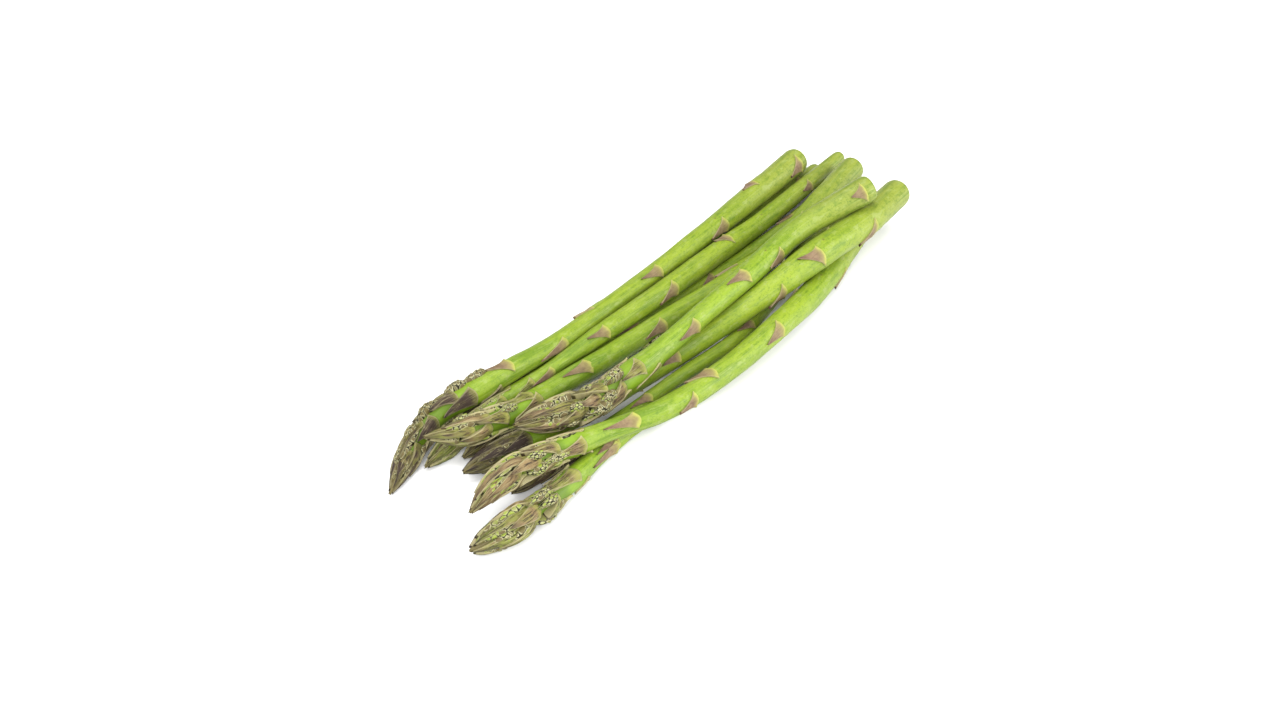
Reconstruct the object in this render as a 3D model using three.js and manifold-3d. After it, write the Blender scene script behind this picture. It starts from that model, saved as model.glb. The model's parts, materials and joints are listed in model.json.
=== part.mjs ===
import * as THREE from "three";
import Module from "manifold-3d";

// A loose bundle of fresh green asparagus spears, lying on a level surface as they fell together.
// Millimetres, +Z up. The cut ends point to +X and the bud heads to -X. The origin is on the
// surface, under the middle of the bundle. Each spear grew as one piece, so it is one body:
// a tapering stalk, the scale leaves pressed to it, and a head of overlapping scales and buds.

const wasm = await Module();
wasm.setup();

// Stalk
const stalkSides = 10;
const stalkStep = 11.5; // between two rings along the stalk
const cutEnd = [[0, 0.76], [1, 0.93], [3, 1]]; // its rounded edge: distance in, share of radius
const stalkIntoHead = 12; // the stalk ends so far inside the head
const stalkEndShare = 0.55; // drawn in to this share of the outline, under the head's scales

// Scale leaves on the stalk: a broad arched foot, sides drawn in to a point nearer the head
const leafFootRise = 0.3; // how far the foot stands proud of the stalk
const leafTipRise = 1.1; // the same for the point
const leafRootShare = 0.5; // the leaf's root reaches in to this share of the stalk's radius
const leafHalfTurn = 56; // degrees from the middle of the foot to its corner
const leafArch = 0.24; // how far the foot sags to the cut end, as a share of the leaf's length
const leafWaist = [0.45, 0.56]; // share of the length, and how wide the leaf still is there
const leafLength = [8.5, 12]; // at the cut end, at the head
const widestGap = 16; // leaves further apart than this have one more, on the far side, between

// Head: scales on one spiral, each over those two, three and five places before it
const spiralTurn = 141; // degrees from one scale to the next
const spiralStep = [0.8, 0.052]; // between two tips: fixed, and for each mm from the spear's tip
const lastScaleFromTip = 3.4;
const scaleRise = 0.35; // a scale's tip stands so far proud of the outline
const scaleEdgeRise = 0.15; // the same half-way down its edges
const scaleSink = 1.1; // and its foot lies so far under it
const scaleShoulder = 0.16; // how far its edges bow out to the tip, as a share of their length
const headRootShare = 0.72; // the head's lowest corners lie inside the stalk
const fullRelief = 4; // where the outline is thinner than this, the relief is less
const jitterTurn = 9; // degrees
const jitterRise = 0.3;

// Side buds, swelling from under the scales
const budSides = 6;
const budGirths = [[0, 0.3], [0.3, 1], [0.72, 0.75], [1, 0.15]]; // share of length, of its radius
const budThickness = 0.2; // its radius, as a share of its length

// Lying together
const clearance = 0.3; // free space between two spears
const bendStep = 0.04; // what would touch another spear is drawn in by such shares
const surfaceSize = 400; // wider than the bundle

const seed = 41;
const tipRadius = 0.4;

// Each spear: the route of its middle line from the cut end to the tip, its radius at shares of
// that length, its scale leaves ([distance from the cut end, degrees from the top, positive to
// -Y]), where its head starts and at what turn, and its side buds ([distance, degrees, length]).
const spears = [
  {
    name: "spear_1",
    route: [[111.4, 35.1, 12.5], [80, 31.5, 12.3], [50, 28.7, 11.5], [20, 27.2, 10],
      [-10.3, 25.1, 10], [-40.3, 22.8, 11.7], [-61, 23, 12.7], [-78, 25, 11], [-92, 27, 9],
      [-104.1, 24.4, 6.5], [-113.1, 20.9, 4.5], [-127, 14.5, 1]],
    radius: [[0, 5.4], [0.13, 4.85], [0.26, 4.3], [0.38, 3.9], [0.5, 3.9], [0.62, 3.7], [0.72, 4.3],
      [0.86, 5.1], [0.93, 4.7], [1, tipRadius]],
    leaves: [[6, 65], [30, -40], [53, 60], [89, 45], [126, -45], [147, 75], [171, 20]],
    head: { fromTip: 60, turn: 40 },
    buds: [[185, -15, 10], [200, 25, 9]],
  },
  {
    name: "spear_2",
    route: [[128.8, 27.4, 8.8], [100.8, 24.3, 8.1], [71.6, 20.6, 8.9], [41.2, 18.3, 10.1],
      [11.8, 16.4, 10.5], [-19, 16.3, 10], [-49, 16.5, 8.5], [-65, 17.8, 6.8], [-79.3, 18.2, 4.9],
      [-94.6, 16.7, 3.8], [-110.2, 15.1, 2.6]],
    radius: [[0, 2.7], [0.1, 3.5], [0.25, 3.9], [0.41, 4.3], [0.52, 4.1], [0.62, 3.7], [0.74, 2.7],
      [0.88, 4.1], [0.94, 4.2], [1, tipRadius]],
    leaves: [[25, 55], [76, 15], [112, 60], [147, 25], [177, 70]],
    head: { fromTip: 48, turn: 60 },
    buds: [],
  },
  {
    name: "spear_3",
    route: [[123.2, 15.6, 12.5], [94, 10, 11], [64.3, 5.3, 8.5], [35.3, 5.6, 7], [6.6, 7.8, 6],
      [-22.2, 8, 6.5], [-51, 7.5, 8.9], [-71, 6.5, 10.5], [-83, 8, 11.5], [-93.3, 10.7, 11.9],
      [-106.8, 19.2, 12.4]],
    radius: [[0, 5.1], [0.12, 4.9], [0.25, 4.4], [0.42, 4.2], [0.6, 4.2], [0.75, 4], [0.86, 5.3],
      [0.92, 5.6], [1, tipRadius]],
    leaves: [[37, 165], [80, -60], [122, 50], [159, 25]],
    head: { fromTip: 50, turn: 60 },
    buds: [[196, 10, 9]],
  },
  {
    name: "spear_4",
    route: [[100, -11.2, 28], [82.7, -6.4, 24], [67, -3.5, 21], [34.9, -6.8, 19.3],
      [5.1, -9.4, 17.8], [-22.1, -10.4, 14.2], [-52.5, -11.2, 14], [-67.6, -7.5, 14.5],
      [-82, -0.5, 14]],
    radius: [[0, 5.5], [0.15, 4.8], [0.34, 4.6], [0.5, 4.1], [0.64, 4.2], [0.78, 6.1], [0.87, 6.8],
      [0.94, 5.2], [1, tipRadius]],
    leaves: [[7, 45], [49, 90], [69, 50], [102, 75]],
    head: { fromTip: 60, turn: 20 },
    buds: [[130, 10, 12], [141, 75, 12], [150, 30, 11]],
  },
  {
    name: "spear_5",
    route: [[121.3, -8.9, 13.5], [92.5, -14.5, 16.4], [64.5, -16.5, 18.3], [36.6, -14.4, 13.8],
      [8.5, -10, 7.5], [-20.2, -6.5, 4], [-49.2, -5, 3.8], [-77, -2, 4.6], [-91, -0.5, 5.4],
      [-104.8, 1.4, 5.5]],
    radius: [[0, 5.8], [0.25, 5.8], [0.38, 4.9], [0.5, 4.5], [0.7, 4.2], [0.8, 4.2], [0.89, 5.1],
      [0.95, 4.4], [1, tipRadius]],
    leaves: [[25, 125], [58, 60], [80, 85], [130, 65], [166, -40]],
    head: { fromTip: 40, turn: 40 },
    buds: [],
  },
  {
    name: "spear_6",
    route: [[113, -2.5, 4.6], [85.5, -12.4, 6.3], [57.4, -21.9, 8], [26.7, -28.6, 11],
      [-3.4, -31.3, 10.5], [-33.3, -30, 10], [-62, -23.5, 11.5], [-84, -19.5, 13],
      [-95.9, -17.2, 13], [-105.9, -16.7, 12], [-120, -19, 9.5]],
    radius: [[0, 4.8], [0.15, 4.8], [0.28, 4.9], [0.4, 4.6], [0.52, 4.4], [0.65, 4.1], [0.73, 3.8],
      [0.84, 5.4], [0.9, 5.8], [0.95, 4.2], [1, tipRadius]],
    leaves: [[42, 120], [91, 45], [128, 35], [142, 90], [165, 45]],
    head: { fromTip: 58, turn: 55 },
    buds: [[201, 35, 11], [198, 100, 10]],
  },
  {
    name: "spear_7",
    route: [[106.2, 4.2, 3], [75.2, 1.8, 3], [45.2, -9.6, 3], [16.5, -16, 3], [-13.1, -15.9, 3],
      [-42.2, -16.8, 3], [-71, -16.5, 3.5], [-98, -15.8, 2.5]],
    radius: [[0, 3.1], [0.5, 2.9], [0.65, 2.8], [0.8, 3.1], [0.9, 3.7], [0.96, 3], [1, tipRadius]],
    leaves: [[40, 60], [81, 60], [138, 40]],
    head: { fromTip: 40, turn: 80 },
    buds: [],
  },
  {
    name: "spear_8",
    route: [[116.1, 21.4, 3.6], [87.9, 16.1, 3.5], [57.7, 15.2, 3.4], [27, 15.5, 3.2], [-3, 16, 3],
      [-33, 14.5, 3], [-63, 11.8, 3.3], [-97.3, 9.4, 2.3]],
    radius: [[0, 3.3], [0.6, 3], [0.75, 3.1], [0.88, 3.4], [0.95, 3.2], [1, tipRadius]],
    leaves: [[29, -30], [76, 50], [120, 20]],
    head: { fromTip: 40, turn: 10 },
    buds: [],
  },
  {
    name: "spear_9",
    route: [[120.7, 32.4, 3.5], [91.7, 31, 3.3], [63.5, 30, 3.2], [33.5, 28, 3], [3.5, 27.5, 2.9],
      [-26, 26, 2.9], [-56, 25, 3.4], [-86, 25, 2.2]],
    radius: [[0, 3.5], [0.6, 2.9], [0.75, 3], [0.88, 3.4], [0.95, 3], [1, tipRadius]],
    leaves: [[13, 40], [57, -20], [102, 60], [137, -40]],
    head: { fromTip: 40, turn: 60 },
    buds: [],
  },
  {
    name: "spear_10",
    route: [[37.8, -21.2, 3.1], [24.3, -24.5, 3.2], [-3.5, -25.6, 3.4], [-34.4, -23, 3.4],
      [-60, -24.5, 3.8], [-78.1, -28, 5], [-91.6, -30.3, 6], [-103.6, -31.3, 6.8],
      [-113.6, -31.3, 6], [-129, -27.7, 4]],
    radius: [[0, 3.5], [0.3, 3.4], [0.5, 3], [0.62, 3.5], [0.74, 4.7], [0.84, 6.6], [0.9, 6.5],
      [0.96, 4.2], [1, tipRadius]],
    leaves: [[38, -60], [94, 35], [95, 112]],
    head: { fromTip: 58, turn: 20 },
    buds: [[130, 0, 12], [139, 75, 11]],
  },
];

const radians = THREE.MathUtils.degToRad;
const { clamp, euclideanModulo, lerp, seededRandom } = THREE.MathUtils;
const up = new THREE.Vector3(0, 0, 1);

seededRandom(seed);

function jitter(size) {
  return (seededRandom() * 2 - 1) * size;
}

// A closed body from vertices and faces that share them.
function solid(vertices, faces) {
  const mesh = new wasm.Mesh({
    numProp: 3,
    vertProperties: new Float32Array(vertices.flatMap((v) => [v.x, v.y, v.z])),
    triVerts: new Uint32Array(faces.flat()),
  });
  return new wasm.Manifold(mesh);
}

// A closed body through rings of corners, with a flat end on the first and the last.
function ringSolid(rings) {
  const sides = rings[0].length;
  const faces = [];
  for (let ring = 0; ring < rings.length - 1; ring += 1) {
    for (let corner = 0; corner < sides; corner += 1) {
      const a = ring * sides + corner;
      const b = ring * sides + ((corner + 1) % sides);
      faces.push([a, b + sides, b], [a, a + sides, b + sides]);
    }
  }
  const last = (rings.length - 1) * sides;
  for (let corner = 1; corner < sides - 1; corner += 1) {
    faces.push([0, corner, corner + 1], [last, last + corner + 1, last + corner]);
  }
  return solid(rings.flat(), faces);
}

// A smooth radius through [share, radius] pairs, with no overshoot between them.
function radiusAt(pairs, share) {
  const slope = (i) => (pairs[i + 1][1] - pairs[i][1]) / (pairs[i + 1][0] - pairs[i][0]);
  const gentle = (a, b) => (a * b > 0 ? (2 * a * b) / (a + b) : 0);
  const last = pairs.length - 2;
  const k = clamp(pairs.findIndex((pair) => pair[0] >= share) - 1, 0, last);
  const [start, end] = [pairs[k], pairs[k + 1]];
  const width = end[0] - start[0];
  const t = clamp((share - start[0]) / width, 0, 1);
  const startSlope = k > 0 ? gentle(slope(k - 1), slope(k)) : slope(k);
  const endSlope = k < last ? gentle(slope(k), slope(k + 1)) : slope(k);
  const rise = (2 * t ** 3 - 3 * t ** 2 + 1) * start[1] + (3 * t ** 2 - 2 * t ** 3) * end[1];
  return rise + width * ((t - 1) ** 2 * t * startSlope + (t - 1) * t ** 2 * endSlope);
}

// A spear's middle line: its length, its outline's radius at a distance from the cut end, and
// the place at a distance, a turn from its own top and a radius.
function middleLine(spear) {
  const curve = new THREE.CatmullRomCurve3(spear.route.map((point) => new THREE.Vector3(...point)));
  const length = curve.getLength();
  const outline = (distance) => radiusAt(spear.radius, clamp(distance / length, 0, 1));
  const place = (distance, turn, radius) => {
    const share = clamp(distance / length, 0, 1);
    const along = curve.getTangentAt(share);
    const side = new THREE.Vector3().crossVectors(up, along).normalize();
    const top = new THREE.Vector3().crossVectors(along, side);
    return curve.getPointAt(share)
      .addScaledVector(top, radius * Math.cos(radians(turn)))
      .addScaledVector(side, radius * Math.sin(radians(turn)));
  };
  const samples = curve.getSpacedPoints(Math.round(length / 2));
  const reach = samples.map((_, i) => outline((i / (samples.length - 1)) * length));
  return { length, outline, place, samples, reach };
}

const lines = spears.map(middleLine);

// How far a point stands off a spear's outline.
function distanceTo(line, point) {
  return Math.min(...line.samples.map((at, i) => point.distanceTo(at) - line.reach[i]));
}

// A point on a spear's relief, drawn in where it would come too near another spear.
function clearOfOthers(line, distance, point) {
  const middle = line.place(distance, 0, 0);
  const others = lines.filter((other) => other !== line);
  const isCrowded = () => {
    const own = Math.max(0, distanceTo(line, point));
    return others.some((other) => distanceTo(other, point) < own + clearance);
  };
  for (let step = 0; step < 12 && isCrowded(); step += 1) point.lerp(middle, bendStep);
  return point;
}

function relief(line, distance, turn, rise) {
  const radius = line.outline(distance) + rise;
  return clearOfOthers(line, distance, line.place(distance, turn, radius));
}

function stalk(line, headStart) {
  const end = headStart + stalkIntoHead;
  const stops = cutEnd.map(([distance]) => distance);
  const steps = Math.ceil((headStart - stops.at(-1)) / stalkStep);
  const step = (headStart - stops.at(-1)) / steps;
  for (let i = 0; i < steps; i += 1) stops.push(stops.at(-1) + step);
  stops.push(end);
  const rings = stops.map((distance, i) => {
    const share = cutEnd[i]?.[1] ?? (distance === end ? stalkEndShare : 1);
    return Array.from({ length: stalkSides }, (_, corner) => {
      const turn = (corner / stalkSides) * 360;
      return line.place(distance, turn, line.outline(distance) * share);
    });
  });
  return ringSolid(rings);
}

// One scale leaf of a stalk: rows of five, three and one points outside, one root inside.
function scaleLeaf(line, [distance, turn]) {
  const length = lerp(...leafLength, distance / line.length);
  const rows = [[0, 1, [-1, -0.5, 0, 0.5, 1]], [...leafWaist, [-1, 0, 1]], [1, 0, [0]]];
  const vertices = rows.flatMap(([along, width, columns]) => columns.map((column) => {
    const arch = leafArch * length * (1 - column ** 2) * (1 - along);
    const at = distance + along * length - arch;
    const rise = lerp(leafFootRise, leafTipRise, along);
    return relief(line, at, turn + column * width * leafHalfTurn, rise);
  }));
  const root = distance + length * 0.4;
  vertices.push(line.place(root, turn, line.outline(root) * leafRootShare));
  const skin = [[0, 5, 1], [1, 5, 6], [1, 6, 2], [2, 6, 3], [3, 6, 7], [3, 7, 4], [5, 8, 6], [6, 8, 7]];
  const rim = [0, 1, 2, 3, 4, 7, 8, 5];
  const walls = rim.map((corner, i) => [9, corner, rim[(i + 1) % rim.length]]);
  return solid(vertices, [...skin, ...walls]);
}

// The listed leaves of a stalk, and one on the far side in each wide gap between two of them.
function leavesOf(spear) {
  const between = spear.leaves.slice(1).flatMap(([distance, turn], i) => {
    const [before, turnBefore] = spear.leaves[i];
    const isWide = distance - before > widestGap;
    return isWide ? [[(before + distance) / 2, (turnBefore + turn) / 2 + 180]] : [];
  });
  return [...spear.leaves, ...between];
}

// Where the head's scales end: their tips on the spiral, closer and closer to the spear's tip.
function scaleTips(line, { fromTip, turn }) {
  const tips = [];
  for (let left = fromTip; left > lastScaleFromTip; left -= spiralStep[0] + spiralStep[1] * left) {
    tips.push({
      distance: line.length - left,
      turn: turn + tips.length * spiralTurn + jitter(jitterTurn),
      rise: 1 + jitter(jitterRise),
    });
  }
  return tips;
}

// A place part of the way along an edge, from one scale's tip to the one that many before it.
function onEdge(tips, i, before) {
  const [tip, corner] = [tips[i], tips[i - before]];
  const turned = euclideanModulo(corner.turn - tip.turn + 180, 360) - 180;
  return {
    distance: lerp(tip.distance, corner.distance, 0.5 - scaleShoulder),
    turn: tip.turn + turned / 2,
    rise: tip.rise,
  };
}

// The head as one closed skin. Each scale is a kite: its own tip, with the tips of the scales
// three and two places before it over its corners, and of the one five before it over its foot.
// So every tip and every edge between two tips has a high point, on the scale that ends there,
// and a low point under it, on the scales that start there.
function head(line, spear) {
  const tips = scaleTips(line, spear.head);
  const vertices = [];
  const add = (point) => vertices.push(point) - 1;
  const full = (distance) => Math.min(1, line.outline(distance) / fullRelief);
  const sunk = ({ distance, turn }, isRoot) => {
    const outline = line.outline(distance);
    const radius = isRoot ? outline * headRootShare : outline - scaleSink * full(distance);
    return add(line.place(distance, turn, radius));
  };
  const raised = ({ distance, turn, rise }, height) => (
    add(relief(line, distance, turn, height * rise * full(distance))));
  const low = tips.map((tip, i) => sunk(tip, i < 5));
  const high = tips.map((tip, i) => (i < 5 ? undefined : raised(tip, scaleRise)));
  const lowEdge = (before) => tips.map((_, i) => (
    i < before ? undefined : sunk(onEdge(tips, i, before), i < 5)));
  const highEdge = (before) => tips.map((_, i) => (
    i < 5 ? undefined : raised(onEdge(tips, i, before), scaleEdgeRise)));
  const [low2, low3] = [lowEdge(2), lowEdge(3)];
  const [high2, high3] = [highEdge(2), highEdge(3)];

  const faces = [];
  for (let i = 5; i < tips.length; i += 1) {
    const centre = raised(onEdge(tips, i, 5), 0);
    const rim = [low[i - 5], low2[i - 3], low[i - 3], high3[i], high[i], high2[i], low[i - 2],
      low3[i - 2]];
    rim.forEach((corner, k) => faces.push([centre, corner, rim[(k + 1) % rim.length]]));
    faces.push([high[i], high3[i], low3[i]], [high[i], low3[i], low[i]]);
    faces.push([high[i], low2[i], high2[i]], [high[i], low[i], low2[i]]);
    faces.push([high3[i], low[i - 3], low3[i]], [high2[i], low2[i], low[i - 2]]);
  }

  // The root, inside the stalk, and the spear's tip close the skin.
  const root = add(line.place(tips[0].distance, 0, 0));
  const tip = add(line.place(line.length, 0, 0));
  const close = (middle, ...path) => {
    for (let k = 0; k < path.length - 1; k += 1) faces.push([middle, path[k], path[k + 1]]);
  };
  const last = tips.length - 1;
  for (let i = 0; i < 3; i += 1) {
    close(root, low[i + 2], low2[i + 2], low[i]);
    close(tip, low[last - i - 2], low2[last - i], low[last - i]);
  }
  for (let i = 0; i < 2; i += 1) {
    close(root, low[i], low3[i + 3], low[i + 3]);
    close(tip, low[last - i], low3[last - i], low[last - i - 3]);
  }
  return solid(vertices, faces);
}

// A side bud: a small spindle lying along the spear, half sunk in it.
function sideBud(line, [distance, turn, length]) {
  const thickness = length * budThickness;
  const out = line.place(distance, turn, 1).sub(line.place(distance, turn, 0));
  const across = line.place(distance, turn + 90, 1).sub(line.place(distance, turn, 0));
  const rings = budGirths.map(([share, girth]) => {
    const at = distance + share * length;
    const middle = line.place(at, turn, line.outline(at));
    return Array.from({ length: budSides }, (_, corner) => {
      const angle = (corner / budSides) * Math.PI * 2;
      const point = middle.clone()
        .addScaledVector(out, Math.cos(angle) * girth * thickness)
        .addScaledVector(across, Math.sin(angle) * girth * thickness);
      return clearOfOthers(line, at, point);
    });
  });
  return ringSolid(rings);
}

// All that lies under the surface: a spear that would dip into it is pressed flat there.
function underSurface() {
  const half = surfaceSize / 2;
  const corners = (z) => [[-half, -half], [half, -half], [half, half], [-half, half]]
    .map(([x, y]) => new THREE.Vector3(x, y, z));
  return ringSolid([corners(0), corners(-half)]);
}

const underneath = underSurface();
const spearGreen = new THREE.MeshStandardMaterial({ color: 0x96b83c, roughness: 0.48, metalness: 0 });

function spearMesh(spear, i) {
  const line = lines[i];
  const headStart = line.length - spear.head.fromTip;
  let body = stalk(line, headStart).add(head(line, spear));
  leavesOf(spear).forEach((leaf) => {
    body = body.add(scaleLeaf(line, leaf));
  });
  spear.buds.forEach((bud) => {
    body = body.add(sideBud(line, bud));
  });
  const { vertProperties, triVerts } = body.subtract(underneath).getMesh();
  const geometry = new THREE.BufferGeometry();
  geometry.setAttribute("position", new THREE.BufferAttribute(vertProperties, 3));
  geometry.setIndex(new THREE.BufferAttribute(triVerts, 1));
  geometry.computeVertexNormals();
  const mesh = new THREE.Mesh(geometry, spearGreen);
  mesh.name = spear.name;
  return mesh;
}

const bundle = new THREE.Group();
bundle.add(...spears.map(spearMesh));

export default bundle;
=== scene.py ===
import json
import math

import bpy
import numpy as np
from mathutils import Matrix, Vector

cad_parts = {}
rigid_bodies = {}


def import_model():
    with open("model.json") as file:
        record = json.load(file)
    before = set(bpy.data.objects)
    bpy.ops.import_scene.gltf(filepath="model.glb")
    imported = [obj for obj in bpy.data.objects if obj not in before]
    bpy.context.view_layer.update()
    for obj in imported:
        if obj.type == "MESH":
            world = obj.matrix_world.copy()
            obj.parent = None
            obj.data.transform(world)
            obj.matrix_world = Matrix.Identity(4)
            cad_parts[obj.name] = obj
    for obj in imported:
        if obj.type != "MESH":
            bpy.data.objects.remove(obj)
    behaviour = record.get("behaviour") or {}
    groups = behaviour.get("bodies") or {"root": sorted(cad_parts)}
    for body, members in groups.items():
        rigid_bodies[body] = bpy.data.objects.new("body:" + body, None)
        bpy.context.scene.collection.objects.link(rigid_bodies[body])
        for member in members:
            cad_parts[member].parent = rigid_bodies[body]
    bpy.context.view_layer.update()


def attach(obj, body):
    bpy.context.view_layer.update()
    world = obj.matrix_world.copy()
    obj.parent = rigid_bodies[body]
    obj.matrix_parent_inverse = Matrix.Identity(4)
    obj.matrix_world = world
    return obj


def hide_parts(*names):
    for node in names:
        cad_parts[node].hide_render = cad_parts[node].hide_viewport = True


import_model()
mm = 0.001
print("frame loaded")


# a socket of a node, with sums that add their own nodes
class Wire:
    def __init__(self, graph, socket):
        self.graph, self.socket = graph, socket

    def math(self, operation, *others):
        values = dict(enumerate([self, *others]))
        return self.graph.add("ShaderNodeMath", {"operation": operation}, values)

    def swapped(self, operation, other):
        return self.graph.add("ShaderNodeMath", {"operation": operation}, {0: other, 1: self})

    def __add__(self, other):
        return self.math("ADD", other)

    def __sub__(self, other):
        return self.math("SUBTRACT", other)

    def __mul__(self, other):
        return self.math("MULTIPLY", other)

    def __truediv__(self, other):
        return self.math("DIVIDE", other)

    def __rsub__(self, other):
        return self.swapped("SUBTRACT", other)

    def __rtruediv__(self, other):
        return self.swapped("DIVIDE", other)

    __radd__ = __add__
    __rmul__ = __mul__

    def vector(self, operation, other=None, output="Vector", **more):
        values = {0: self, **more}
        if other is not None:
            values[1] = other
        return self.graph.add("ShaderNodeVectorMath", {"operation": operation}, values, output)

    def part(self, axis):
        return self.graph.add("ShaderNodeSeparateXYZ", {}, {0: self}, axis)

    def ramp(self, low, high):
        settings = {"interpolation_type": "SMOOTHSTEP"}
        return self.graph.add("ShaderNodeMapRange", settings, {"Value": self, 1: low, 2: high})


# a tree of nodes, and one way to add to it
class Graph:
    def __init__(self, tree):
        self.tree = tree

    def add(self, kind, settings, values, output=0):
        node = self.tree.nodes.new(kind)
        for name, value in settings.items():
            setattr(node, name, value)
        for name, value in values.items():
            matches = [s for s in node.inputs if s.identifier == name]
            socket = matches[0] if matches else node.inputs[name]
            for one in value if isinstance(value, list) else [value]:
                if isinstance(one, Wire):
                    self.tree.links.new(one.socket, socket)
                else:
                    socket.default_value = one
        outputs = [s for s in node.outputs if output in (s.identifier, s.name)]
        return Wire(self, outputs[0] if outputs else node.outputs[output])

    def noise(self, place, scale, detail=2.0, roughness=0.5, stretch=1.0):
        # a stretch below 1 draws the pattern out along the spear
        if stretch != 1.0:
            place = place.vector("MULTIPLY", (1, 1, stretch))
        values = {"Vector": place, "Scale": scale, "Detail": detail, "Roughness": roughness}
        return self.add("ShaderNodeTexNoise", {}, values, "Fac")

    def mix(self, factor, first, second):
        values = {"Factor_Float": factor, "A_Color": first, "B_Color": second}
        return self.add("ShaderNodeMix", {"data_type": "RGBA"}, values, "Result_Color")


studioBrightness = 2.5     # colours are given as they look in the studio's light


def colour(red, green, blue):
    linear = [c / 255 / 12.92 if c <= 10 else ((c / 255 + 0.055) / 1.055) ** 2.4
              for c in (red, green, blue)]
    return (*(c / studioBrightness for c in linear), 1.0)


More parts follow.
